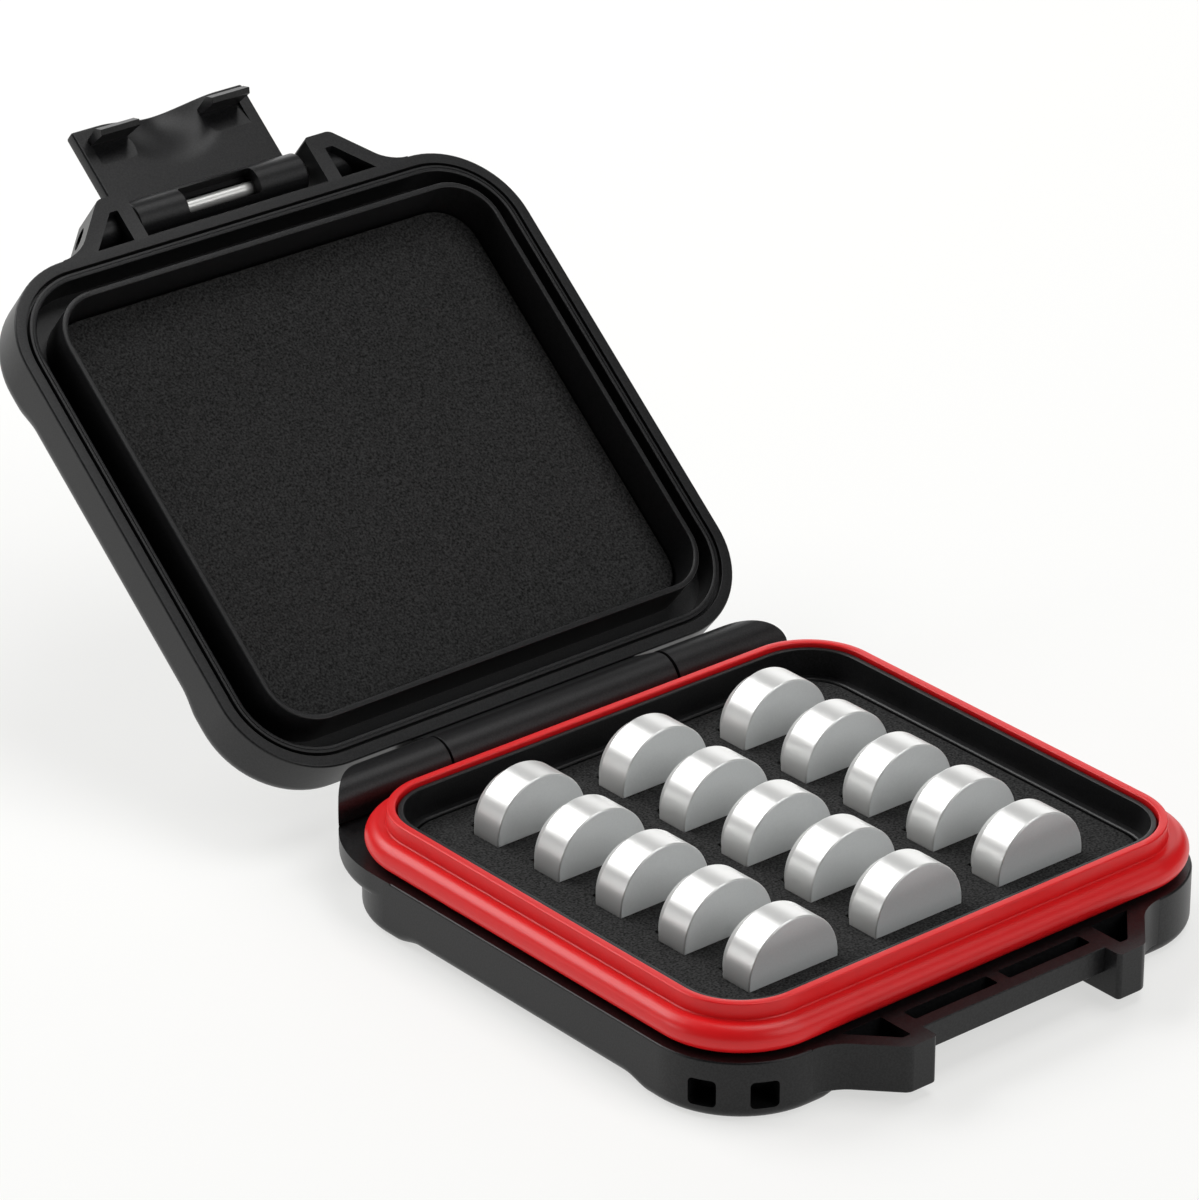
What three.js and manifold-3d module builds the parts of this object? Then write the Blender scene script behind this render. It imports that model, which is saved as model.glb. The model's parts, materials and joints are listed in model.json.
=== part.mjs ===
// A hard battery case that holds fifteen button cells on edge, shown open.
// Millimetres. +X runs along the hinge, +Y points from the latch side to the
// hinge side, +Z is up. The origin is the centre of the base's under panel.

import * as THREE from 'three';
import { mergeVertices } from 'three/addons/utils/BufferGeometryUtils.js';
import Module from 'manifold-3d';

const wasm = await Module();
wasm.setup();

// Outline shared by both shells, seen from above
const caseWidth = 68;
const caseDepth = 63.5;
const cornerRadius = 10.5;
const cornerSteps = 7;

// Bumper corners that stand proud of the base's underside and the lid's top
const bumperLift = 0.7;
const bumperRun = 1.6;
const bumperBlend = 3.6;
const bumperBand = 6.2;
const bumperFade = 2.6;
const bumperSteps = 3;

// Fits
const fit = 0.3;
const slideFit = 0.2;
const lipFit = 0.45;
const pinFit = 0.3;

// Base shell
const floorThickness = 1.4;
const flangeHeight = 5.7;
const baseEdge = 1.2;
const flangeEdge = 0.25;
const rimWall = 0.6;
const rimWallRise = 4.05;
const ledgeWidth = 0.85;
const ledgeChamfer = 0.3;
const edgeSteps = 4;

// How far a cutter runs past the face that it opens
const cutOver = 1;

// Seal ring
const sealMargin = 0.35;
const beadDiameter = 3.0;
const sealLipInset = 2.6;
const sealLip = 0.95;
const sealLipRise = 1.7;
const sealFillet = 0.35;
const sealEdge = 0.12;
const beadSteps = 12;

// Lid shell
const lidHeight = 6.3;
const lidEdge = 2.3;
const lidRoof = 1.0;
const lidLip = 0.65;
const lidLipDrop = 1.5;
const lidLipChamfer = 0.4;
const channelMargin = 0.15;
const channelHeadroom = 2.2;
const grooveInset = 1.5;
const grooveWidth = 0.32;
const grooveDepth = 0.8;
const lidOpenAngle = 140.3;

// Hinge
const hingeSetback = 3.95;
const hingeRise = 1.5;
const knuckleRadius = 2.8;
const lidKnuckleLength = 30.6;
const hingeCornerRadius = 15;
const hingeShelfDrop = 3.1;
const hingeShelfFront = 1.2;
const hingeShelfEdge = 1.3;
const hingePinDiameter = 1.6;
const hingePinEngagement = 7.5;
const lidWebRise = 4.0;

// Latch ears on both shells
const earInnerX = 12.2;
const earTipWidth = 3.5;
const earReach = 5.65;
const earRootX = 21.1;
const earRootDepth = 0.9;
const earTipRadius = 0.6;
const earFilletReach = 1.8;
const earFilletRun = 2.2;
const earWall = 1.85;
const earSideWall = 2.4;
const earPocketInset = 0.5;
const earBottom = 0.5;
const basePocketDepth = 3.6;
const lidEarHeight = 5.5;
const lidPocketDepth = 4.9;
const pinBossRadius = 2.2;

// Keeper bar between the base's ears
const barReach = 3.55;
const barHeight = 2.8;
const barSlotDepth = 2.0;
const barFrontWall = 1.6;
const barRib = 1.5;
const barEndWall = 0.45;
const barBackWall = 0.2;

// Lanyard post in the corner at -X, -Y
const lanyardHoleWidth = 2.9;
const lanyardHoleHeight = 2.9;
const lanyardHoleBottom = 0.6;
const lanyardPost = 1.9;
const lanyardPassage = 1.6;
const lanyardAngles = [-151, -117];

// Latch
const latchPinSetback = 3.25;
const latchPinRise = 3.35;
const latchPinDiameter = 1.5;
const latchPinRecess = 0.6;
const latchBarrelRadius = 2.4;
const latchLength = 12.65;
const latchInset = 0.6;
const latchThickness = 1.5;
const latchTop = 0.85;
const latchEdge = 0.3;
const latchAcross = 28;
const latchDown = 12;
const latchOpenAngle = 89.8;
const latchSideFit = 0.6;
const barrelEndInset = 0.3;
const barrelWindow = 9.8;
const barrelWindowHeight = 3.2;
const hookInnerX = 4.9;
const hookOuterX = 10.05;
const hookDepth = 3.1;
const hookThickness = 1.25;
const hookNose = 0.5;
const hookLead = 0.5;
const hookRamp = 0.9;
const hookRecess = 0.5;
const hookRecessHeight = 2.2;
const scoopFlare = 1.75;
const scoopHalfWidth = 8;
const scoopHeight = 7.4;

// Cells and foam
const cellDiameter = 11.6;
const cellHeight = 5.4;
const cellEdge = 0.35;
const cellEdgeFlat = 0.1;
const cellCanHeight = 3.95;
const cellCrimpHeight = 0.3;
const cellCrimpWidth = 0.45;
const cellGasketWidth = 0.4;
const cellCapRise = 0.95;
const cellCapTaper = 0.3;
const cellSides = 20;
const cellRows = 3;
const cellColumns = 5;
const rowPitch = 16.57;
const columnPitch = 9.65;
const trayThickness = 5.5;
const padThickness = 0.7;

// Sizes that follow from those above
const halfWidth = caseWidth / 2;
const halfDepth = caseDepth / 2;
const rimWallOuter = sealLipInset + sealLip + slideFit;
const rimWallInner = rimWallOuter + rimWall;
const ledgeInner = rimWallInner + ledgeWidth;
const trayInset = ledgeInner + fit;
const trayBottom = floorThickness + fit;
const trayTop = trayBottom + trayThickness;
const rimWallTop = flangeHeight + rimWallRise;
const sealBottom = flangeHeight + fit;
const beadTop = sealBottom + beadDiameter;
const sealTop = beadTop + sealLipRise;
const lidPlane = beadTop + fit;
const lidTop = lidPlane + lidHeight;
const lidCeiling = lidTop - lidRoof;
const lidLipOuter = rimWallInner + lipFit;
const lidLipInner = lidLipOuter + lidLip;
const channelOuter = sealLipInset - channelMargin;
const channelTop = sealTop + channelHeadroom;
const hingeY = halfDepth + hingeSetback;
const hingeZ = flangeHeight + hingeRise;
const hingeBack = hingeY + knuckleRadius;
const latchY = -halfDepth - latchPinSetback;
const latchZ = lidPlane + latchPinRise;
const barBottom = flangeHeight - barHeight;
const hookCatch = barBottom - fit - latchZ;
const earTipX = earInnerX + earTipWidth;
const earSlope = (earRootX - earTipX) / earReach;
const cellCentreZ = floorThickness + fit + cellDiameter / 2;
const cellCanDepth = cellCanHeight + cellCrimpHeight;

// Solids: three.js geometry in, boolean result out
function solid(geometry) {
  const source = geometry.clone();
  source.deleteAttribute('normal');
  source.deleteAttribute('uv');
  const merged = mergeVertices(source, 1e-4);
  return new wasm.Manifold(new wasm.Mesh({
    numProp: 3,
    vertProperties: new Float32Array(merged.attributes.position.array),
    triVerts: new Uint32Array(merged.index.array),
  }));
}

function geometryOf(body) {
  const mesh = body.getMesh();
  const geometry = new THREE.BufferGeometry();
  geometry.setAttribute('position', new THREE.BufferAttribute(mesh.vertProperties, 3));
  geometry.setIndex(new THREE.BufferAttribute(mesh.triVerts, 1));
  return geometry;
}

function box(x0, x1, y0, y1, z0, z1) {
  const geometry = new THREE.BoxGeometry(x1 - x0, y1 - y0, z1 - z0);
  geometry.translate((x0 + x1) / 2, (y0 + y1) / 2, (z0 + z1) / 2);
  return geometry;
}

// A cylinder lying along X
function rod(radius, x0, x1, y, z, sides = 24) {
  const geometry = new THREE.CylinderGeometry(radius, radius, x1 - x0, sides);
  geometry.rotateZ(Math.PI / 2);
  geometry.translate((x0 + x1) / 2, y, z);
  return geometry;
}

// A plan shape drawn in X and Y, raised from z0 to z1, with its upper and
// lower edges rounded off by edge
function raise(shape, z0, z1, curveSegments = 8, edge = 0) {
  const options = {
    depth: z1 - z0 - 2 * edge,
    bevelEnabled: edge > 0,
    bevelThickness: edge,
    bevelSize: edge,
    bevelOffset: -edge,
    bevelSegments: edgeSteps,
    curveSegments,
  };
  const geometry = new THREE.ExtrudeGeometry(shape, options);
  geometry.translate(0, 0, z0 + edge);
  return geometry;
}

// A side profile drawn in Y and Z, drawn out along X from x0 to x1
function drawOut(profile, x0, x1, curveSegments = 10) {
  const options = { depth: x1 - x0, bevelEnabled: false, curveSegments };
  const geometry = new THREE.ExtrudeGeometry(profile, options);
  geometry.translate(0, 0, x0);
  const toSide = new THREE.Matrix4().makeBasis(
    new THREE.Vector3(0, 1, 0),
    new THREE.Vector3(0, 0, 1),
    new THREE.Vector3(1, 0, 0),
  );
  return geometry.applyMatrix4(toSide);
}

function polygon(points) {
  return new THREE.Shape(points.map(([u, v]) => new THREE.Vector2(u, v)));
}

function smooth(t) {
  const s = Math.min(Math.max(t, 0), 1);
  return s * s * (3 - 2 * s);
}

// Stations round the rounded rectangle, counter-clockwise from above. Each
// holds its corner centre, its outward direction, how far along the straight
// it lies and how much of the bumper's lift it takes.
function outlineStations(withBumpers) {
  const stations = [];
  const corners = [[1, -1], [1, 1], [-1, 1], [-1, -1]];
  corners.forEach(([sx, sy], k) => {
    const centre = new THREE.Vector2(sx * (halfWidth - cornerRadius), sy * (halfDepth - cornerRadius));
    const start = (k - 1) * Math.PI / 2;
    for (let i = 0; i <= cornerSteps; i += 1) {
      const angle = start + (i / cornerSteps) * Math.PI / 2;
      stations.push({ centre, angle, along: 0, lift: 1 });
    }
    if (!withBumpers) return;
    const straight = 2 * (k % 2 === 0 ? halfDepth - cornerRadius : halfWidth - cornerRadius);
    const angle = start + Math.PI / 2;
    const near = [];
    for (let i = 0; i <= bumperSteps; i += 1) {
      const share = i / bumperSteps;
      near.push({ along: bumperRun + bumperBlend * share, lift: 1 - smooth(share) });
    }
    const far = near.map(({ along, lift }) => ({ along: straight - along, lift })).reverse();
    [...near, ...far].forEach(({ along, lift }) => stations.push({ centre, angle, along, lift }));
  });
  return stations;
}

// One closed loop of the outline, set in by inset, at height z. raised is the
// bumper's lift at this loop, negative where it stands downwards.
function outlineLoop(stations, inset, z, raised = 0) {
  return stations.map(({ centre, angle, along, lift }) => {
    const reach = cornerRadius - inset;
    const out = new THREE.Vector2(Math.cos(angle), Math.sin(angle));
    return new THREE.Vector3(
      centre.x + out.x * reach - out.y * along,
      centre.y + out.y * reach + out.x * along,
      z + raised * lift,
    );
  });
}

// Skins a run of loops. A closed run makes a ring; an open one gets two caps.
function skin(loops, ring) {
  const count = loops[0].length;
  const positions = loops.flat().flatMap((p) => [p.x, p.y, p.z]);
  const index = [];
  const bands = ring ? loops.length : loops.length - 1;
  for (let i = 0; i < bands; i += 1) {
    const lower = i * count;
    const upper = ((i + 1) % loops.length) * count;
    for (let j = 0; j < count; j += 1) {
      const next = (j + 1) % count;
      index.push(lower + j, lower + next, upper + next);
      index.push(lower + j, upper + next, upper + j);
    }
  }
  if (!ring) {
    const flat = (loop) => {
      const contour = loop.map((p) => new THREE.Vector2(p.x, p.y));
      return THREE.ShapeUtils.triangulateShape(contour, []);
    };
    const last = (loops.length - 1) * count;
    flat(loops[0]).forEach(([a, b, c]) => index.push(a, c, b));
    flat(loops[loops.length - 1]).forEach(([a, b, c]) => index.push(last + a, last + b, last + c));
  }
  const geometry = new THREE.BufferGeometry();
  geometry.setAttribute('position', new THREE.Float32BufferAttribute(positions, 3));
  geometry.setIndex(index);
  return geometry;
}

// Quarter-round from the flat face (share 0) to the wall (share 1), as pairs
// of inset and rise
function quarterRound(radius, steps) {
  const pairs = [];
  for (let i = 0; i <= steps; i += 1) {
    const a = (i / steps) * Math.PI / 2;
    pairs.push([radius * (1 - Math.sin(a)), radius * (1 - Math.cos(a))]);
  }
  return pairs;
}

// The bumper's inner border, from the flat panel out to the full lift
function bumperBorder(steps) {
  const pairs = [];
  for (let i = 0; i <= steps; i += 1) {
    const share = i / steps;
    pairs.push([bumperBand + bumperFade * (1 - share), smooth(share)]);
  }
  return pairs;
}

// Plan of one latch ear on the +X side, running into the front wall
function earPlan() {
  const tipY = -halfDepth - earReach;
  const rootY = -halfDepth + earRootDepth;
  const sideX = (y) => earTipX + earSlope * (y - tipY);
  const filletY = -halfDepth - earFilletReach;
  const plan = new THREE.Shape();
  plan.moveTo(earInnerX, rootY);
  plan.lineTo(earInnerX, tipY + earTipRadius);
  plan.quadraticCurveTo(earInnerX, tipY, earInnerX + earTipRadius, tipY);
  plan.lineTo(earTipX - earTipRadius, tipY);
  plan.quadraticCurveTo(earTipX, tipY, sideX(tipY + earTipRadius), tipY + earTipRadius);
  plan.lineTo(sideX(filletY), filletY);
  plan.quadraticCurveTo(earRootX, -halfDepth, earRootX + earFilletRun, -halfDepth);
  plan.lineTo(earRootX + earFilletRun, rootY);
  plan.closePath();
  return plan;
}

// Triangular pocket that follows the ear's outline
function earPocketPlan() {
  const innerX = earInnerX + earWall;
  const backY = -halfDepth + earPocketInset;
  const tipY = -halfDepth - earReach + earWall;
  const sideX = (y) => earTipX + earSlope * (y + halfDepth + earReach) - earSideWall;
  return polygon([[innerX, backY], [innerX, tipY], [sideX(tipY), tipY], [sideX(backY), backY]]);
}

function mirrorX(geometry) {
  const copy = geometry.clone().applyMatrix4(new THREE.Matrix4().makeScale(-1, 1, 1));
  const order = copy.index ? copy.index.array : null;
  if (order) {
    for (let i = 0; i < order.length; i += 3) [order[i], order[i + 1]] = [order[i + 1], order[i]];
    return copy;
  }
  const points = copy.attributes.position.array;
  for (let i = 0; i < points.length; i += 9) {
    for (let k = 0; k < 3; k += 1) [points[i + k], points[i + 3 + k]] = [points[i + 3 + k], points[i + k]];
  }
  return copy;
}

// Plan of the hinge side: the outline run back to the knuckles' rear
function hingePlan() {
  const plan = new THREE.Shape();
  const r = hingeCornerRadius;
  plan.moveTo(-halfWidth, 0);
  plan.lineTo(halfWidth, 0);
  plan.lineTo(halfWidth, hingeBack - r);
  plan.absarc(halfWidth - r, hingeBack - r, r, 0, Math.PI / 2, false);
  plan.lineTo(-halfWidth + r, hingeBack);
  plan.absarc(-halfWidth + r, hingeBack - r, r, Math.PI / 2, Math.PI, false);
  plan.closePath();
  return plan;
}

function makeBase() {
  const stations = outlineStations(true);
  const loops = [];
  bumperBorder(3).forEach(([inset, share]) => {
    loops.push(outlineLoop(stations, inset, 0, -bumperLift * share));
  });
  quarterRound(baseEdge, edgeSteps).forEach(([inset, rise]) => {
    loops.push(outlineLoop(stations, inset, rise, -bumperLift));
  });
  loops.push(outlineLoop(stations, 0, flangeHeight - flangeEdge));
  loops.push(outlineLoop(stations, flangeEdge, flangeHeight));
  loops.push(outlineLoop(stations, rimWallOuter, flangeHeight));
  loops.push(outlineLoop(stations, rimWallOuter, rimWallTop));
  loops.push(outlineLoop(stations, rimWallInner, rimWallTop));
  loops.push(outlineLoop(stations, rimWallInner, trayTop));
  loops.push(outlineLoop(stations, ledgeInner - ledgeChamfer, trayTop));
  loops.push(outlineLoop(stations, ledgeInner, trayTop - ledgeChamfer));
  loops.push(outlineLoop(stations, ledgeInner, floorThickness));
  let body = solid(skin(loops, false));

  // Hinge shelf with its two end knuckles
  const shelfZ = flangeHeight - hingeShelfDrop;
  const foot = Math.sqrt(knuckleRadius ** 2 - hingeRise ** 2);
  const over = Math.atan2(-hingeRise, -foot);
  const startY = halfDepth - cornerRadius;
  const under = Math.atan2(shelfZ - hingeZ, halfDepth - hingeY) + Math.acos(
    knuckleRadius / Math.hypot(shelfZ - hingeZ, halfDepth - hingeY),
  );
  const side = new THREE.Shape();
  side.moveTo(startY, shelfZ);
  side.lineTo(halfDepth, shelfZ);
  side.lineTo(hingeY + knuckleRadius * Math.cos(under), hingeZ + knuckleRadius * Math.sin(under));
  side.absarc(hingeY, hingeZ, knuckleRadius, under, over + 2 * Math.PI, false);
  side.lineTo(startY, flangeHeight);
  side.closePath();
  let hinge = solid(drawOut(side, -halfWidth, halfWidth, 16));
  const hingeTop = hingeZ + knuckleRadius + hingeShelfEdge;
  hinge = hinge.intersect(solid(raise(hingePlan(), shelfZ, hingeTop, 14, hingeShelfEdge)));
  const plain = outlineStations(false);
  const within = [shelfZ - cutOver, hingeTop].map((z) => outlineLoop(plain, rimWallOuter, z));
  hinge = hinge.subtract(solid(skin(within, false)));
  const gap = lidKnuckleLength / 2 + fit;
  const clear = knuckleRadius + fit;
  hinge = hinge.subtract(solid(rod(clear, -gap, gap, hingeY, hingeZ, 40)));
  const shelfFront = halfDepth + hingeShelfFront;
  hinge = hinge.subtract(solid(box(-gap, gap, shelfFront, hingeBack + cutOver, 0, hingeZ + clear)));
  body = body.add(hinge);
  const bore = hingePinDiameter / 2 + pinFit;
  const boreEnd = lidKnuckleLength / 2 + hingePinEngagement + pinFit;
  body = body.subtract(solid(rod(bore, -boreEnd, boreEnd, hingeY, hingeZ, 16)));

  // Latch ears with their pockets, and the keeper bar with its two slots
  const ear = raise(earPlan(), earBottom, flangeHeight, 6);
  const pocket = raise(earPocketPlan(), flangeHeight - basePocketDepth, flangeHeight + cutOver);
  body = body.add(solid(ear)).add(solid(mirrorX(ear)));
  body = body.add(solid(box(
    -earInnerX - earWall / 2, earInnerX + earWall / 2,
    -halfDepth - barReach, -halfDepth + earRootDepth,
    barBottom, flangeHeight,
  )));
  body = body.subtract(solid(pocket)).subtract(solid(mirrorX(pocket)));
  const slotFront = -halfDepth - barReach + barFrontWall;
  const slotOuter = earInnerX - barEndWall;
  [-1, 1].forEach((s) => {
    const x0 = Math.min(s * barRib / 2, s * slotOuter);
    const x1 = Math.max(s * barRib / 2, s * slotOuter);
    body = body.subtract(solid(box(
      x0, x1, slotFront, -halfDepth - barBackWall, flangeHeight - barSlotDepth, flangeHeight + cutOver,
    )));
  });

  // Lanyard post: two square mouths joined behind a post in the corner
  const cx = -halfWidth + cornerRadius;
  const cy = -halfDepth + cornerRadius;
  const deep = cornerRadius - lanyardPost - lanyardPassage;
  const top = lanyardHoleBottom + lanyardHoleHeight;
  const half = lanyardHoleWidth / 2;
  lanyardAngles.forEach((degrees) => {
    const mouth = box(deep, cornerRadius + cutOver, -half, half, lanyardHoleBottom, top);
    mouth.rotateZ(THREE.MathUtils.degToRad(degrees));
    mouth.translate(cx, cy, 0);
    body = body.subtract(solid(mouth));
  });
  const [from, to] = lanyardAngles.map((degrees) => THREE.MathUtils.degToRad(degrees));
  const passage = new THREE.Shape();
  passage.absarc(cx, cy, deep + lanyardPassage, from, to, false);
  passage.absarc(cx, cy, deep, to, from, true);
  passage.closePath();
  return body.subtract(solid(raise(passage, lanyardHoleBottom, top, 6)));
}

function makeLid() {
  const stations = outlineStations(true);
  const loops = [
    outlineLoop(stations, lidLipInner, lidCeiling),
    outlineLoop(stations, lidLipInner, lidPlane - lidLipDrop),
    outlineLoop(stations, lidLipOuter + lidLipChamfer, lidPlane - lidLipDrop),
    outlineLoop(stations, lidLipOuter, lidPlane - lidLipDrop + lidLipChamfer),
    outlineLoop(stations, lidLipOuter, channelTop),
    outlineLoop(stations, channelOuter, channelTop),
    outlineLoop(stations, channelOuter, lidPlane),
    outlineLoop(stations, grooveInset + grooveWidth / 2, lidPlane),
    outlineLoop(stations, grooveInset + grooveWidth / 2, lidPlane + grooveDepth),
    outlineLoop(stations, grooveInset - grooveWidth / 2, lidPlane + grooveDepth),
    outlineLoop(stations, grooveInset - grooveWidth / 2, lidPlane),
    outlineLoop(stations, flangeEdge, lidPlane),
    outlineLoop(stations, 0, lidPlane + flangeEdge),
  ];
  quarterRound(lidEdge, edgeSteps).reverse().forEach(([inset, rise]) => {
    loops.push(outlineLoop(stations, inset, lidTop - rise, bumperLift));
  });
  bumperBorder(3).reverse().forEach(([inset, share]) => {
    loops.push(outlineLoop(stations, inset, lidTop, bumperLift * share));
  });
  let body = solid(skin(loops, false));

  // Middle knuckle and the web that carries it from the rear wall
  const webLow = lidPlane + flangeEdge;
  const webHigh = webLow + lidWebRise;
  const tangent = (y, z, turn) => {
    const reach = Math.hypot(y - hingeY, z - hingeZ);
    return Math.atan2(z - hingeZ, y - hingeY) + turn * Math.acos(knuckleRadius / reach);
  };
  const lower = tangent(halfDepth, webLow, 1);
  const upper = tangent(halfDepth, webHigh, -1);
  const side = new THREE.Shape();
  side.moveTo(halfDepth - channelOuter / 2, webLow);
  side.lineTo(halfDepth, webLow);
  side.absarc(hingeY, hingeZ, knuckleRadius, lower, upper + 2 * Math.PI, false);
  side.lineTo(halfDepth, webHigh);
  side.lineTo(halfDepth - channelOuter / 2, webHigh);
  side.closePath();
  body = body.add(solid(drawOut(side, -lidKnuckleLength / 2, lidKnuckleLength / 2, 18)));
  const bore = hingePinDiameter / 2 + pinFit;
  body = body.subtract(solid(rod(bore, -lidKnuckleLength, lidKnuckleLength, hingeY, hingeZ, 16)));

  // Latch ears, pockets, and the bosses that hold the latch pin
  const ear = solid(raise(earPlan(), lidPlane, lidPlane + lidEarHeight, 6));
  const pocket = solid(raise(earPocketPlan(), lidPlane - cutOver, lidPlane + lidPocketDepth));
  const boss = ear.intersect(solid(rod(pinBossRadius, earInnerX, halfWidth, latchY, latchZ, 18)));
  const pinBore = solid(rod(latchPinDiameter / 2 + pinFit, 0, halfWidth, latchY, latchZ, 16));
  const right = ear.subtract(pocket).add(boss).subtract(pinBore);
  return body.add(right).add(solid(mirrorX(geometryOf(right))));
}

// The gasket: a round bead outside, an upright lip inside
function makeSeal() {
  const r = beadDiameter / 2;
  const beadInset = sealMargin + r;
  const beadZ = sealBottom + r;
  const lipOuter = sealLipInset;
  const lipInner = sealLipInset + sealLip;
  const section = [[lipInner, sealBottom], [beadInset, sealBottom]];
  const meet = Math.acos(Math.min((lipOuter - sealFillet - beadInset) / r, 1));
  const turn = 1.5 * Math.PI - meet;
  for (let i = 1; i <= beadSteps; i += 1) {
    const a = -Math.PI / 2 - (i / beadSteps) * turn;
    section.push([beadInset + r * Math.cos(a), beadZ + r * Math.sin(a)]);
  }
  const neck = section[section.length - 1][1];
  section.push([lipOuter, neck + sealFillet]);
  section.push([lipOuter, sealTop - sealEdge]);
  section.push([lipOuter + sealEdge, sealTop]);
  section.push([lipInner - sealEdge, sealTop]);
  section.push([lipInner, sealTop - sealEdge]);
  const stations = outlineStations(false);
  return skin(section.map(([inset, z]) => outlineLoop(stations, inset, z)), true);
}

// The latch hangs from its pin along -Z, with the case towards +Y
function makeLatch() {
  const across = latchAcross;
  const down = latchDown;
  const half = earInnerX - latchSideFit;
  const place = (i, j, outer) => {
    const x = -half + (2 * half * i) / across;
    const z = latchTop - ((latchLength + latchTop) * j) / down;
    const fromMiddle = Math.hypot(x / scoopHalfWidth, (latchLength + z) / scoopHeight);
    const flare = scoopFlare * smooth(1 - fromMiddle);
    const edge = i === 0 || i === across || j === down ? latchEdge : 0;
    const y = outer ? -latchInset - latchThickness + edge : -latchInset - edge / 2;
    return [x, y - flare, z];
  };
  const row = across + 1;
  const positions = [];
  [false, true].forEach((outer) => {
    for (let j = 0; j <= down; j += 1) {
      for (let i = 0; i <= across; i += 1) positions.push(...place(i, j, outer));
    }
  });
  const back = row * (down + 1);
  const at = (i, j) => j * row + i;
  const index = [];
  for (let j = 0; j < down; j += 1) {
    for (let i = 0; i < across; i += 1) {
      const [a, b, c, d] = [at(i, j), at(i + 1, j), at(i + 1, j + 1), at(i, j + 1)];
      index.push(a, b, c, a, c, d);
      index.push(back + a, back + c, back + b, back + a, back + d, back + c);
    }
  }
  const border = [];
  for (let i = 0; i < across; i += 1) border.push(at(i, 0));
  for (let j = 0; j < down; j += 1) border.push(at(across, j));
  for (let i = across; i > 0; i -= 1) border.push(at(i, down));
  for (let j = down; j > 0; j -= 1) border.push(at(0, j));
  border.forEach((a, k) => {
    const b = border[(k + 1) % border.length];
    index.push(a, back + a, back + b, a, back + b, b);
  });
  const plate = new THREE.BufferGeometry();
  plate.setAttribute('position', new THREE.Float32BufferAttribute(positions, 3));
  plate.setIndex(index);
  let body = solid(plate);

  body = body.add(solid(rod(latchBarrelRadius, -half + barrelEndInset, half - barrelEndInset, 0, 0, 28)));
  body = body.subtract(solid(box(
    -barrelWindow / 2, barrelWindow / 2,
    0, latchBarrelRadius + cutOver,
    -barrelWindowHeight / 2, barrelWindowHeight / 2,
  )));
  body = body.subtract(solid(rod(latchPinDiameter / 2 + pinFit, -half, half, 0, 0, 16)));

  // A sloping relief above each hook, then the hooks themselves
  const inner = -latchInset;
  const foot = hookCatch - hookThickness;
  const recess = drawOut(polygon([
    [inner - hookRecess, foot + hookThickness / 2],
    [inner - hookRecess, hookCatch],
    [inner, hookCatch + hookRecessHeight],
    [inner + cutOver, hookCatch + hookRecessHeight],
    [inner + cutOver, foot + hookThickness / 2],
  ].reverse()), hookInnerX, hookOuterX);
  body = body.subtract(solid(recess)).subtract(solid(mirrorX(recess)));
  const root = inner - (latchThickness + hookRecess) / 2;
  const nose = inner + hookDepth;
  const hook = drawOut(polygon([
    [root, hookCatch],
    [nose - hookLead, hookCatch],
    [nose, hookCatch - hookNose],
    [nose - hookRamp, foot],
    [root, foot],
  ].reverse()), hookInnerX, hookOuterX);
  return body.add(solid(hook)).add(solid(mirrorX(hook)));
}

// A crimped cell: can with a rolled edge, gasket step and raised cap. Its can
// is centred on Y = 0 with its flat end towards -Y.
function makeCell() {
  const r = cellDiameter / 2;
  const h = cellHeight;
  const crimpR = r - cellCrimpWidth;
  const gasketR = crimpR - cellGasketWidth;
  const profile = [
    [0, 0],
    [r - cellEdge, 0],
    [r - cellEdgeFlat, cellEdgeFlat],
    [r, cellEdge],
    [r, cellCanHeight],
    [crimpR, cellCanDepth],
    [gasketR, h - cellCapRise],
    [gasketR - cellCapTaper, h],
    [0, h],
  ].map(([radius, z]) => new THREE.Vector2(radius, z));
  const geometry = new THREE.LatheGeometry(profile, cellSides);
  geometry.translate(0, -cellCanDepth / 2, 0);
  return geometry;
}

function makeTray() {
  const stations = outlineStations(false);
  let body = solid(skin([
    outlineLoop(stations, trayInset, trayBottom),
    outlineLoop(stations, trayInset, trayTop),
  ], false));
  cellPlaces().forEach(([x, y]) => {
    const w = cellDiameter / 2 + slideFit;
    const front = y - cellCanDepth / 2 - slideFit;
    const back = front + cellHeight + 2 * slideFit;
    body = body.subtract(solid(box(x - w, x + w, front, back, trayBottom - cutOver, trayTop + cutOver)));
  });
  return body;
}

// Row by row from -X, each row from the hinge side to the latch side
function cellPlaces() {
  const places = [];
  for (let row = 0; row < cellRows; row += 1) {
    for (let column = 0; column < cellColumns; column += 1) {
      places.push([
        (row - (cellRows - 1) / 2) * rowPitch,
        ((cellColumns - 1) / 2 - column) * columnPitch,
      ]);
    }
  }
  return places;
}

function makePad() {
  const stations = outlineStations(false);
  const top = lidCeiling - fit;
  return skin([
    outlineLoop(stations, lidLipInner + fit, top - padThickness),
    outlineLoop(stations, lidLipInner + fit, top),
  ], false);
}

const blackPlastic = { color: 0x2c2d2e, roughness: 0.55, metalness: 0 };
const steel = { color: 0xc9c9c6, roughness: 0.25, metalness: 1 };
const redSilicone = { color: 0xc8282d, roughness: 0.45, metalness: 0 };
const trayFoam = { color: 0x1f2021, roughness: 0.95, metalness: 0 };
const padFoam = { color: 0x1b1c1d, roughness: 0.95, metalness: 0 };
const cellSteel = { color: 0x9a9a98, roughness: 0.3, metalness: 1 };

function piece(name, geometry, look) {
  const mesh = new THREE.Mesh(geometry, new THREE.MeshStandardMaterial(look));
  mesh.name = name;
  return mesh;
}

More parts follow.
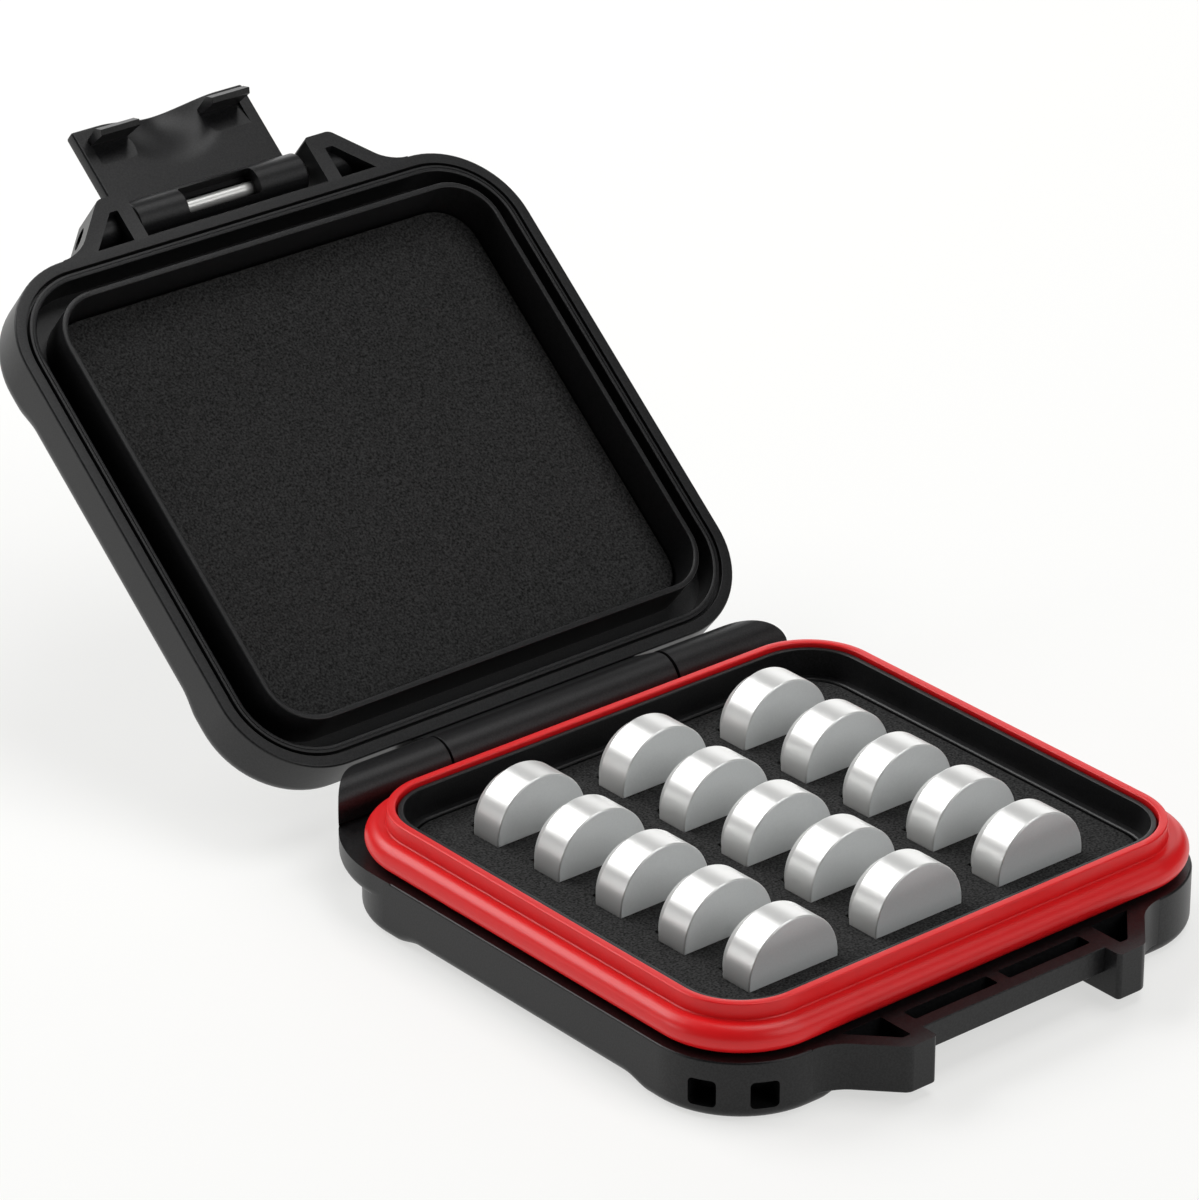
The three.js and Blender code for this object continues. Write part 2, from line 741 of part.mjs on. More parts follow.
const batteryCase = new THREE.Group();
batteryCase.add(piece('base_shell', geometryOf(makeBase()), blackPlastic));
const hingePinHalf = lidKnuckleLength / 2 + hingePinEngagement;
batteryCase.add(piece(
  'hinge_pin',
  rod(hingePinDiameter / 2, -hingePinHalf, hingePinHalf, hingeY, hingeZ, 16),
  steel,
));
batteryCase.add(piece('seal', makeSeal(), redSilicone));
batteryCase.add(piece('cell_tray', geometryOf(makeTray()), trayFoam));

cellPlaces().forEach(([x, y], i) => {
  const cell = piece(`button_cell_${String(i + 1).padStart(2, '0')}`, makeCell(), cellSteel);
  cell.position.set(x, y, cellCentreZ);
  batteryCase.add(cell);
});

const lid = new THREE.Group();
lid.position.set(0, hingeY, hingeZ);
lid.rotation.x = -THREE.MathUtils.degToRad(lidOpenAngle);
const fromCase = new THREE.Matrix4().makeTranslation(0, -hingeY, -hingeZ);
lid.add(piece('lid_shell', geometryOf(makeLid()).applyMatrix4(fromCase), blackPlastic));
lid.add(piece('lid_pad', makePad().applyMatrix4(fromCase), padFoam));
const latchPinHalf = earTipX + earSlope * (earReach - latchPinSetback) - latchPinRecess;
lid.add(piece(
  'latch_pin',
  rod(latchPinDiameter / 2, -latchPinHalf, latchPinHalf, latchY, latchZ, 16).applyMatrix4(fromCase),
  steel,
));
const latch = piece('latch', geometryOf(makeLatch()), blackPlastic);
latch.position.set(0, latchY - hingeY, latchZ - hingeZ);
latch.rotation.x = -THREE.MathUtils.degToRad(latchOpenAngle);
lid.add(latch);
batteryCase.add(lid);

export default batteryCase;
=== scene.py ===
import json
import math

import bmesh
import bpy
from mathutils import Matrix, Vector


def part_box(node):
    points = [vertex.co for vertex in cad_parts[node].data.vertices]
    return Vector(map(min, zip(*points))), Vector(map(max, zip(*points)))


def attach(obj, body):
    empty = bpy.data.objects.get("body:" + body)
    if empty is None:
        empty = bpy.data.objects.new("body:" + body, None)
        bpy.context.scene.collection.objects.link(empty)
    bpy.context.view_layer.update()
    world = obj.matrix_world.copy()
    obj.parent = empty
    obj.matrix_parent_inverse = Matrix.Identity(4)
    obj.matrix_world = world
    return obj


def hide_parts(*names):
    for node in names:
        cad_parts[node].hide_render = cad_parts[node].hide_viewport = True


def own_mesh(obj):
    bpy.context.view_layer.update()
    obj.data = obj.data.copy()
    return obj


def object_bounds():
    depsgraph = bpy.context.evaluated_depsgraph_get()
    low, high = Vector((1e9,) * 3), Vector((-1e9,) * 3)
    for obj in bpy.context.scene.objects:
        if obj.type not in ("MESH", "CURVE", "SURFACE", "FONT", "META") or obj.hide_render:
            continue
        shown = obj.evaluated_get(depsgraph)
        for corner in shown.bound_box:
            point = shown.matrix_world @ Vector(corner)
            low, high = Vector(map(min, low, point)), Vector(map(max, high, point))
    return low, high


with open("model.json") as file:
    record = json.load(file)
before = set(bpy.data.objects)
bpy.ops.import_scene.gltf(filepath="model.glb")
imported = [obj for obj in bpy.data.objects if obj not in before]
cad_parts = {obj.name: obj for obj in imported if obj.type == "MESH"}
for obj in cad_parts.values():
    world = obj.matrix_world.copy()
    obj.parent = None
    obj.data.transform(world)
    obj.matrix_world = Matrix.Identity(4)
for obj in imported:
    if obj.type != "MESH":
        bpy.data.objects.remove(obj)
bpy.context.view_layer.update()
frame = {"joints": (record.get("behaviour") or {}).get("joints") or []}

# The case is modelled shut and in millimetres, then swung open and brought to metres.
mm = 0.001
joints = {joint["name"]: joint for joint in frame["joints"]}


def swing(pivot, degrees):
    turn = Matrix.Rotation(math.radians(degrees), 4, "X")
    return Matrix.Translation(pivot) @ turn @ Matrix.Translation(-pivot)


hingePoint = Vector(joints["lid_hinge"]["pos_m"])
lidOpen = swing(hingePoint, joints["lid_hinge"]["range_deg"][0])
latchPoint = lidOpen.inverted() @ Vector(joints["latch_hinge"]["pos_m"])
latchOpen = lidOpen @ swing(latchPoint, joints["latch_hinge"]["range_deg"][0])
hingeY, hingeZ = hingePoint.y / mm, hingePoint.z / mm
latchY, latchZ = latchPoint.y / mm, latchPoint.z / mm

outline = {
    "halfWidth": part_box("base_shell")[1].x / mm,
    "halfDepth": 31.75,
    "corner": 10.5,
    "cornerSteps": 20,
    "padLift": 0.7,       # how far the corner pads stand proud
    "padRun": 1.6,        # full lift carries on past the corner by this much
    "padBlend": 3.6,
    "padBand": 6.2,       # width of the raised band round the corner
    "padFade": 2.6,
    "padRings": 5,        # rings of faces over which the band fades out
    "padCuts": 90,        # points along each straight edge
    "padEdge": 20,        # only the straight edges are longer than this
}


# Small helpers for working by selection
def clearSelection():
    if bpy.context.object and bpy.context.object.mode == "EDIT":
        bpy.ops.object.mode_set(mode="OBJECT")
    bpy.ops.object.select_all(action="DESELECT")


def takeUp(piece):
    clearSelection()
    bpy.context.view_layer.objects.active = piece
    piece.select_set(True)


def edit(piece):
    takeUp(piece)
    bpy.ops.object.mode_set(mode="EDIT")


def pick(kind, test):
    bpy.ops.mesh.select_mode(type=kind)
    bpy.ops.mesh.select_all(action="DESELECT")
    mesh = bmesh.from_edit_mesh(bpy.context.object.data)
    parts = {"VERT": mesh.verts, "EDGE": mesh.edges, "FACE": mesh.faces}[kind]
    for part in parts:
        if test(part):
            part.select_set(True)
    bmesh.update_edit_mesh(bpy.context.object.data)


def inset(width):
    bpy.ops.mesh.inset(thickness=width, depth=0)


def extrude(x=0, y=0, z=0):
    bpy.ops.mesh.extrude_region_move(TRANSFORM_OT_translate={"value": (x, y, z)})


def shift(x=0, y=0, z=0):
    bpy.ops.transform.translate(value=(x, y, z))


def bevel(width, steps):
    bpy.ops.mesh.bevel(offset=width, segments=steps, affect="EDGES", profile=0.5)


def near(a, b, within=0.01):
    return abs(a - b) < within


def bothAt(edge, z):
    return near(edge.verts[0].co.z, z) and near(edge.verts[1].co.z, z)


def smooth(t):
    t = min(max(t, 0), 1)
    return t * t * (3 - 2 * t)


def facesOut():
    bpy.ops.mesh.select_all(action="SELECT")
    bpy.ops.mesh.normals_make_consistent(inside=False)


def addBlock(name, low, high):
    clearSelection()
    centre = [(a + b) / 2 for a, b in zip(low, high)]
    bpy.ops.mesh.primitive_cube_add(size=1, location=centre)
    block = bpy.context.object
    block.name = name
    block.scale = [b - a for a, b in zip(low, high)]
    bpy.ops.object.transform_apply(location=True, rotation=False, scale=True)
    return block


def addRod(name, radius, x0, x1, y, z, sides=64):
    clearSelection()
    bpy.ops.mesh.primitive_cylinder_add(
        vertices=sides, radius=radius, depth=x1 - x0,
        location=((x0 + x1) / 2, y, z), rotation=(0, math.pi / 2, 0))
    rod = bpy.context.object
    rod.name = name
    bpy.ops.object.transform_apply(location=True, rotation=True, scale=True)
    return rod


def drawPlan(name, points, low, high):
    # a flat outline seen from above, drawn up into a solid
    clearSelection()
    bpy.ops.mesh.primitive_circle_add(vertices=len(points), radius=1, fill_type="NGON")
    solid = bpy.context.object
    solid.name = name
    for corner, (x, y) in zip(solid.data.vertices, points):
        corner.co = (x, y, low)
    edit(solid)
    bpy.ops.mesh.select_all(action="SELECT")
    extrude(z=high - low)
    facesOut()
    return solid


def drawSide(name, points, x0, x1):
    # a flat outline seen from the side, drawn across into a solid
    clearSelection()
    bpy.ops.mesh.primitive_circle_add(vertices=len(points), radius=1, fill_type="NGON")
    solid = bpy.context.object
    solid.name = name
    for corner, (y, z) in zip(solid.data.vertices, points):
        corner.co = (x0, y, z)
    edit(solid)
    bpy.ops.mesh.select_all(action="SELECT")
    extrude(x=x1 - x0)
    facesOut()
    return solid


def arc(centre, radius, start, end, steps):
    turns = [start + (end - start) * i / steps for i in range(steps + 1)]
    return [(centre[0] + radius * math.cos(a), centre[1] + radius * math.sin(a)) for a in turns]


def roundedBlock(name, back, low, high, steps=None):
    # the case's outline, stepped back from the edge, as a block in edit mode
    halfWidth = outline["halfWidth"] - back
    halfDepth = outline["halfDepth"] - back
    block = addBlock(name, (-halfWidth, -halfDepth, low), (halfWidth, halfDepth, high))
    edit(block)
    pick("EDGE", lambda edge: not near(edge.verts[0].co.z, edge.verts[1].co.z))
    bevel(outline["corner"] - back, steps or outline["cornerSteps"])
    return block


def combine(piece, tool, operation):
    takeUp(piece)
    cut = piece.modifiers.new(operation.lower(), "BOOLEAN")
    cut.operation = operation
    cut.solver = "EXACT"
    cut.object = tool
    bpy.ops.object.modifier_apply(modifier=cut.name)
    bpy.data.objects.remove(tool)


def fromEdge(point):
    # how far inside the case's outline a point lies, seen from above
    qx = abs(point.x) - (outline["halfWidth"] - outline["corner"])
    qy = abs(point.y) - (outline["halfDepth"] - outline["corner"])
    beyond = math.hypot(max(qx, 0), max(qy, 0)) + min(max(qx, qy), 0)
    return outline["corner"] - beyond


def padShare(point):
    share = 1 - smooth((fromEdge(point) - outline["padBand"]) / outline["padFade"])
    for along, half in ((point.x, outline["halfWidth"]), (point.y, outline["halfDepth"])):
        straight = half - outline["corner"] - abs(along)
        share *= smooth(1 - (straight - outline["padRun"]) / outline["padBlend"])
    return share


def raisePads(level, direction):
    # points along the straight edges, rings inside them, then the four corners drawn out
    pick("EDGE", lambda edge: bothAt(edge, level) and edge.calc_length() > outline["padEdge"])
    bpy.ops.mesh.subdivide(number_cuts=outline["padCuts"])
    pick("FACE", lambda face: face.normal.z * direction > 0.9 and near(face.calc_center_median().z, level))
    inset(outline["padBand"])
    for _ in range(outline["padRings"]):
        inset(outline["padFade"] / outline["padRings"])
    mesh = bmesh.from_edit_mesh(bpy.context.object.data)
    for corner in mesh.verts:
        if near(corner.co.z, level):
            corner.co.z += direction * outline["padLift"] * padShare(corner.co)
    bmesh.update_edit_mesh(bpy.context.object.data)


def settle(piece, move=None):
    # to metres and to its open place, with the place in the mesh
    takeUp(piece)
    piece.matrix_world = (move or Matrix.Identity(4)) @ Matrix.Scale(mm, 4) @ piece.matrix_world
    bpy.ops.object.transform_apply(location=True, rotation=True, scale=True)
    edit(piece)
    facesOut()
    takeUp(piece)


def smoothShade(piece, degrees=32):
    takeUp(piece)
    bpy.ops.object.shade_smooth_by_angle(angle=math.radians(degrees))
    weighted = piece.modifiers.new("weighted", "WEIGHTED_NORMAL")
    weighted.keep_sharp = True
    weighted.weight = 80
    bpy.ops.object.modifier_apply(modifier=weighted.name)


def hand(piece, body, slot, finish, *nodes):
    piece.data.materials.clear()
    piece.data.materials.append(finish)
    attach(piece, body)
    if nodes:
        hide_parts(*nodes)


# Colours and nodes
def linearColour(hexText):
    parts = [int(hexText[i:i + 2], 16) / 255 for i in (1, 3, 5)]
    return [c / 12.92 if c <= 0.04045 else ((c + 0.055) / 1.055) ** 2.4 for c in parts] + [1]


def addNode(tree, kind, settings=None, links=None):
    node = tree.nodes.new(kind)
    for name, value in (settings or {}).items():
        if isinstance(name, str) and hasattr(node, name):
            setattr(node, name, value)
        else:
            node.inputs[name].default_value = value
    for name, source in (links or {}).items():
        tree.links.new(source, node.inputs[name])
    return node


def newFinish(name):
    finish = bpy.data.materials.new(name)
    finish.use_nodes = True
    tree = finish.node_tree
    shader = next(node for node in tree.nodes if node.type == "BSDF_PRINCIPLED")
    return finish, tree, shader


mouldedAbs = {
    "colour": "#0e0e0f", "light": "#1e1e1f", "roughness": 0.36, "uneven": 0.05, "cloud": 9.0,
    "grain": 0.2,         # coarser than the real grain, so that it shows
    "grainLow": 0.36, "grainHigh": 0.64, "bump": 0.15, "bumpDepth": 0.02, "ior": 1.5, "specular": 0.3,
}


def mouldedAbsFinish():
    # injection-moulded ABS from a spark-eroded tool: satin black with an even, very fine grain
    finish, tree, shader = newFinish("moulded_black_abs")
    place = addNode(tree, "ShaderNodeTexCoord")
    grain = addNode(tree, "ShaderNodeTexNoise", {"Scale": 1 / (mouldedAbs["grain"] * mm), "Detail": 2.0},
                    {"Vector": place.outputs["Object"]})
    cloud = addNode(tree, "ShaderNodeTexNoise", {"Scale": 1 / (mouldedAbs["cloud"] * mm), "Detail": 3.0},
                    {"Vector": place.outputs["Object"]})
    spread = addNode(tree, "ShaderNodeMapRange",
                     {"From Min": mouldedAbs["grainLow"], "From Max": mouldedAbs["grainHigh"]},
                     {"Value": grain.outputs["Fac"]})
    tint = addNode(tree, "ShaderNodeMixRGB",
                   {"Color1": linearColour(mouldedAbs["colour"]), "Color2": linearColour(mouldedAbs["light"])},
                   {"Fac": spread.outputs["Result"]})
    rough = addNode(tree, "ShaderNodeMapRange",
                    {"To Min": mouldedAbs["roughness"] - mouldedAbs["uneven"],
                     "To Max": mouldedAbs["roughness"] + mouldedAbs["uneven"]},
                    {"Value": cloud.outputs["Fac"]})
    bump = addNode(tree, "ShaderNodeBump", {"Strength": mouldedAbs["bump"], "Distance": mouldedAbs["bumpDepth"] * mm},
                   {"Height": grain.outputs["Fac"]})
    shader.inputs["IOR"].default_value = mouldedAbs["ior"]
    shader.inputs["Specular IOR Level"].default_value = mouldedAbs["specular"]
    tree.links.new(tint.outputs["Color"], shader.inputs["Base Color"])
    tree.links.new(rough.outputs["Result"], shader.inputs["Roughness"])
    tree.links.new(bump.outputs["Normal"], shader.inputs["Normal"])
    return finish


siliconeRubber = {
    "colour": "#e4181c", "deep": "#da1519", "roughness": 0.34, "uneven": 0.04, "mottle": 1.6,
    "bump": 0.05, "bumpDepth": 0.02, "ior": 1.43, "specular": 0.5,
}


def siliconeRubberFinish():
    # compression-moulded silicone: strong even red with a soft broad highlight
    finish, tree, shader = newFinish("red_silicone_rubber")
    place = addNode(tree, "ShaderNodeTexCoord")
    mottle = addNode(tree, "ShaderNodeTexNoise", {"Scale": 1 / (siliconeRubber["mottle"] * mm), "Detail": 4.0},
                     {"Vector": place.outputs["Object"]})
    tint = addNode(tree, "ShaderNodeMixRGB",
                   {"Color1": linearColour(siliconeRubber["deep"]), "Color2": linearColour(siliconeRubber["colour"])},
                   {"Fac": mottle.outputs["Fac"]})
    rough = addNode(tree, "ShaderNodeMapRange",
                    {"To Min": siliconeRubber["roughness"] - siliconeRubber["uneven"],
                     "To Max": siliconeRubber["roughness"] + siliconeRubber["uneven"]},
                    {"Value": mottle.outputs["Fac"]})
    bump = addNode(tree, "ShaderNodeBump",
                   {"Strength": siliconeRubber["bump"], "Distance": siliconeRubber["bumpDepth"] * mm},
                   {"Height": mottle.outputs["Fac"]})
    shader.inputs["IOR"].default_value = siliconeRubber["ior"]
    shader.inputs["Specular IOR Level"].default_value = siliconeRubber["specular"]
    tree.links.new(tint.outputs["Color"], shader.inputs["Base Color"])
    tree.links.new(rough.outputs["Result"], shader.inputs["Roughness"])
    tree.links.new(bump.outputs["Normal"], shader.inputs["Normal"])
    return finish


evaFoam = {
    "colour": "#101010", "light": "#3e3e3e", "roughness": 0.9, "cell": 0.25,
    "grainLow": 0.32, "grainHigh": 0.68, "bump": 0.35, "bumpDepth": 0.08, "specular": 0.15,
}


def evaFoamFinish():
    # skived EVA foam: dull black, the cut cells show as a fine dark and light grain
    finish, tree, shader = newFinish("black_eva_foam")
    place = addNode(tree, "ShaderNodeTexCoord")
    cells = addNode(tree, "ShaderNodeTexVoronoi", {"Scale": 1 / (evaFoam["cell"] * mm)},
                    {"Vector": place.outputs["Object"]})
    grain = addNode(tree, "ShaderNodeTexNoise", {"Scale": 1 / (evaFoam["cell"] * mm), "Detail": 3.0},
                    {"Vector": place.outputs["Object"]})
    spread = addNode(tree, "ShaderNodeMapRange", {"From Min": evaFoam["grainLow"], "From Max": evaFoam["grainHigh"]},
                     {"Value": grain.outputs["Fac"]})
    tint = addNode(tree, "ShaderNodeMixRGB",
                   {"Color1": linearColour(evaFoam["colour"]), "Color2": linearColour(evaFoam["light"])},
                   {"Fac": spread.outputs["Result"]})
    bump = addNode(tree, "ShaderNodeBump", {"Strength": evaFoam["bump"], "Distance": evaFoam["bumpDepth"] * mm},
                   {"Height": cells.outputs["Distance"]})
    shader.inputs["Roughness"].default_value = evaFoam["roughness"]
    shader.inputs["Specular IOR Level"].default_value = evaFoam["specular"]
    tree.links.new(tint.outputs["Color"], shader.inputs["Base Color"])
    tree.links.new(bump.outputs["Normal"], shader.inputs["Normal"])
    return finish


canSteel = {
    "colour": "#e4e4e2", "roughness": 0.3, "uneven": 0.03, "metallic": 0.4,
    "draw": 0.6,          # coarser than the real draw lines, so that they show
    "drawStretch": 0.05,
}


def canSteelFinish():
    # nickel-plated drawn steel: bright satin wall with faint draw lines round the can
    finish, tree, shader = newFinish("nickel_plated_can_steel")
    place = addNode(tree, "ShaderNodeTexCoord")
    stretch = addNode(tree, "ShaderNodeMapping", {"Scale": (canSteel["drawStretch"], 1, canSteel["drawStretch"])},
                      {"Vector": place.outputs["Object"]})
    draw = addNode(tree, "ShaderNodeTexNoise", {"Scale": 1 / (canSteel["draw"] * mm), "Detail": 1.0},
                   {"Vector": stretch.outputs["Vector"]})
    rough = addNode(tree, "ShaderNodeMapRange",
                    {"To Min": canSteel["roughness"] - canSteel["uneven"],
                     "To Max": canSteel["roughness"] + canSteel["uneven"]},
                    {"Value": draw.outputs["Fac"]})
    shader.inputs["Base Color"].default_value = linearColour(canSteel["colour"])
    shader.inputs["Metallic"].default_value = canSteel["metallic"]
    tree.links.new(rough.outputs["Result"], shader.inputs["Roughness"])
    return finish


faceSteel = {
    "colour": "#e0e3e3", "light": "#e9ecec", "roughness": 0.62, "metallic": 0.05,
    "grit": 0.25, "bump": 0.06, "bumpDepth": 0.01,
}


def faceSteelFinish():
    # the can's flat end, left matt by tumbling: even mid grey with next to no reflection
    finish, tree, shader = newFinish("tumbled_end_steel")
    place = addNode(tree, "ShaderNodeTexCoord")
    grit = addNode(tree, "ShaderNodeTexNoise", {"Scale": 1 / (faceSteel["grit"] * mm), "Detail": 2.0},
                   {"Vector": place.outputs["Object"]})
    tint = addNode(tree, "ShaderNodeMixRGB",
                   {"Color1": linearColour(faceSteel["colour"]), "Color2": linearColour(faceSteel["light"])},
                   {"Fac": grit.outputs["Fac"]})
    bump = addNode(tree, "ShaderNodeBump", {"Strength": faceSteel["bump"], "Distance": faceSteel["bumpDepth"] * mm},
                   {"Height": grit.outputs["Fac"]})
    shader.inputs["Roughness"].default_value = faceSteel["roughness"]
    shader.inputs["Metallic"].default_value = faceSteel["metallic"]
    tree.links.new(tint.outputs["Color"], shader.inputs["Base Color"])
    tree.links.new(bump.outputs["Normal"], shader.inputs["Normal"])
    return finish


pinSteel = {
    "colour": "#e6e6e3", "roughness": 0.3, "uneven": 0.06, "metallic": 0.5,
    "grind": 0.12,        # coarser than the real grinding lines, so that they show
    "grindStretch": 0.05,
}


def pinSteelFinish():
    # centreless-ground stainless rod: bright with fine lines round it
    finish, tree, shader = newFinish("ground_stainless_pin")
    place = addNode(tree, "ShaderNodeTexCoord")
    stretch = addNode(tree, "ShaderNodeMapping", {"Scale": (1, pinSteel["grindStretch"], pinSteel["grindStretch"])},
                      {"Vector": place.outputs["Object"]})
    lines = addNode(tree, "ShaderNodeTexNoise", {"Scale": 1 / (pinSteel["grind"] * mm), "Detail": 2.0},
                    {"Vector": stretch.outputs["Vector"]})
    rough = addNode(tree, "ShaderNodeMapRange",
                    {"To Min": pinSteel["roughness"] - pinSteel["uneven"],
                     "To Max": pinSteel["roughness"] + pinSteel["uneven"]},
                    {"Value": lines.outputs["Fac"]})
    shader.inputs["Base Color"].default_value = linearColour(pinSteel["colour"])
    shader.inputs["Metallic"].default_value = pinSteel["metallic"]
    tree.links.new(rough.outputs["Result"], shader.inputs["Roughness"])
    return finish


absFinish = mouldedAbsFinish()
siliconeFinish = siliconeRubberFinish()
foamFinish = evaFoamFinish()
canFinish = canSteelFinish()
endFinish = faceSteelFinish()
pinFinish = pinSteelFinish()
print("finishes ready")


# Latch ears, the same plan on the base and the lid
ears = {
    "innerX": 12.2, "tipWidth": 3.5, "reach": 5.65, "rootX": 21.1, "rootDepth": 0.9,
    "tipRound": 0.5, "filletRun": 2.2, "filletRound": 2.1, "softEdge": 0.22,
    "wall": 1.85, "sideWall": 2.4, "pocketInset": 0.5, "pocketSoft": 0.15,
}


def earSide(y):
    tipX = ears["innerX"] + ears["tipWidth"]
    slope = (ears["rootX"] - tipX) / ears["reach"]
    return tipX + slope * (y + outline["halfDepth"] + ears["reach"])


def addEar(side, low, high, softZ):
    front = -outline["halfDepth"]
    tip = front - ears["reach"]
    root = front + ears["rootDepth"]
    foot = ears["rootX"] + ears["filletRun"]
    points = [(ears["innerX"], root), (ears["innerX"], tip), (earSide(tip), tip),
              (ears["rootX"], front), (foot, front), (foot, root)]
    ear = drawPlan("ear", [(side * x, y) for x, y in points], low, high)
    upright = lambda edge: not near(edge.verts[0].co.z, edge.verts[1].co.z)
    pick("EDGE", lambda edge: upright(edge) and near(edge.verts[0].co.y, tip))
    bevel(ears["tipRound"], 6)
    pick("EDGE", lambda edge: upright(edge) and near(abs(edge.verts[0].co.x), ears["rootX"]))
    bevel(ears["filletRound"], 6)
    pick("EDGE", lambda edge: bothAt(edge, softZ) and min(v.co.y for v in edge.verts) < front - 0.05)
    bevel(ears["softEdge"], 3)
    return ear


def addPocket(side, low, high):
    inner = ears["innerX"] + ears["wall"]
    back = -outline["halfDepth"] + ears["pocketInset"]
    tip = -outline["halfDepth"] - ears["reach"] + ears["wall"]
    points = [(inner, back), (inner, tip), (earSide(tip) - ears["sideWall"], tip),
              (earSide(back) - ears["sideWall"], back)]
    pocket = drawPlan("pocket", [(side * x, y) for x, y in points], low, high)
    pick("EDGE", lambda edge: not near(edge.verts[0].co.z, edge.verts[1].co.z))
    bevel(ears["pocketSoft"], 3)
    return pocket


hinge = {
    "knuckle": 2.8, "middleLength": 30.6, "cornerRound": 15, "shelfDrop": 3.1, "shelfFront": 1.2,
    "shelfEdge": 1.3, "bore": 1.1, "boreEnd": 23.1, "gap": 0.3, "webRise": 4.0,
    "knuckleSoft": 0.15,
    "sideApart": 0.005, "boundApart": 0.003, "topApart": 0.001,   # keep cutters out of the faces they meet
}

base = {
    "flange": 5.7, "floor": 1.4, "bottomEdge": 1.2, "flangeEdge": 0.25,
    "rimOuter": 3.75, "rimWall": 0.6, "rimTop": 10.3, "rimSoft": 0.12,
    "ledge": 0.85, "ledgeZ": 7.2, "ledgeSoft": 0.3, "earBottom": 0.5, "pocketDepth": 3.6,
    "barReach": 3.55, "barHeight": 2.8, "barRib": 1.5, "barSlot": 2.0, "barFront": 1.6,
    "barEnd": 0.45, "barBack": 0.2, "barSoft": 0.12, "slotSoft": 0.25,
    "holeWidth": 2.9, "holeHeight": 2.9, "holeBottom": 0.6, "holeSoft": 0.5, "post": 1.9, "passage": 1.6,
    "holeTurns": (-151, -117),
}


def makeHingeShelf():
    top = base["flange"]
    low = top - hinge["shelfDrop"]
    back = hingeY + hinge["knuckle"]
    start = outline["halfDepth"] - outline["corner"] - 1
    wall = outline["halfDepth"]
    reach = math.hypot(low - hingeZ, wall - hingeY)
    under = math.atan2(low - hingeZ, wall - hingeY) + math.acos(hinge["knuckle"] / reach)
    over = math.pi + math.asin((hingeZ - top) / hinge["knuckle"])
    side = [(start, low), (wall, low)]
    side += arc((hingeY, hingeZ), hinge["knuckle"], under, over, 40)
    side += [(start, top)]
    width = outline["halfWidth"] - hinge["sideApart"]
    shelf = drawSide("hinge_shelf", side, -width - 4, width + 4)

    # the shelf keeps to a plan with wide rear corners and a rounded lower edge
    boundLow = low + hinge["boundApart"]
    bound = addBlock("hinge_bound", (-width, start - 9, boundLow), (width, back + hinge["boundApart"], top + 9))
    edit(bound)
    pick("EDGE", lambda edge: not near(edge.verts[0].co.z, edge.verts[1].co.z) and edge.verts[0].co.y > start)
    bevel(hinge["cornerRound"], 28)
    pick("EDGE", lambda edge: bothAt(edge, boundLow) and max(v.co.y for v in edge.verts) > start - 8)
    bevel(hinge["shelfEdge"], 8)
    facesOut()
    combine(shelf, bound, "INTERSECT")
    combine(shelf, roundedBlock("hinge_clear", base["rimOuter"], low - 2, top + hinge["topApart"]), "DIFFERENCE")

    half = hinge["middleLength"] / 2 + hinge["gap"]
    clear = hinge["knuckle"] + hinge["gap"]
    combine(shelf, addRod("knuckle_gap", clear, -half, half, hingeY, hingeZ, 80), "DIFFERENCE")
    combine(shelf, addBlock("knuckle_gap", (-half, wall + hinge["shelfFront"], -5),
                            (half, back + 5, hingeZ + clear)), "DIFFERENCE")
    return shelf


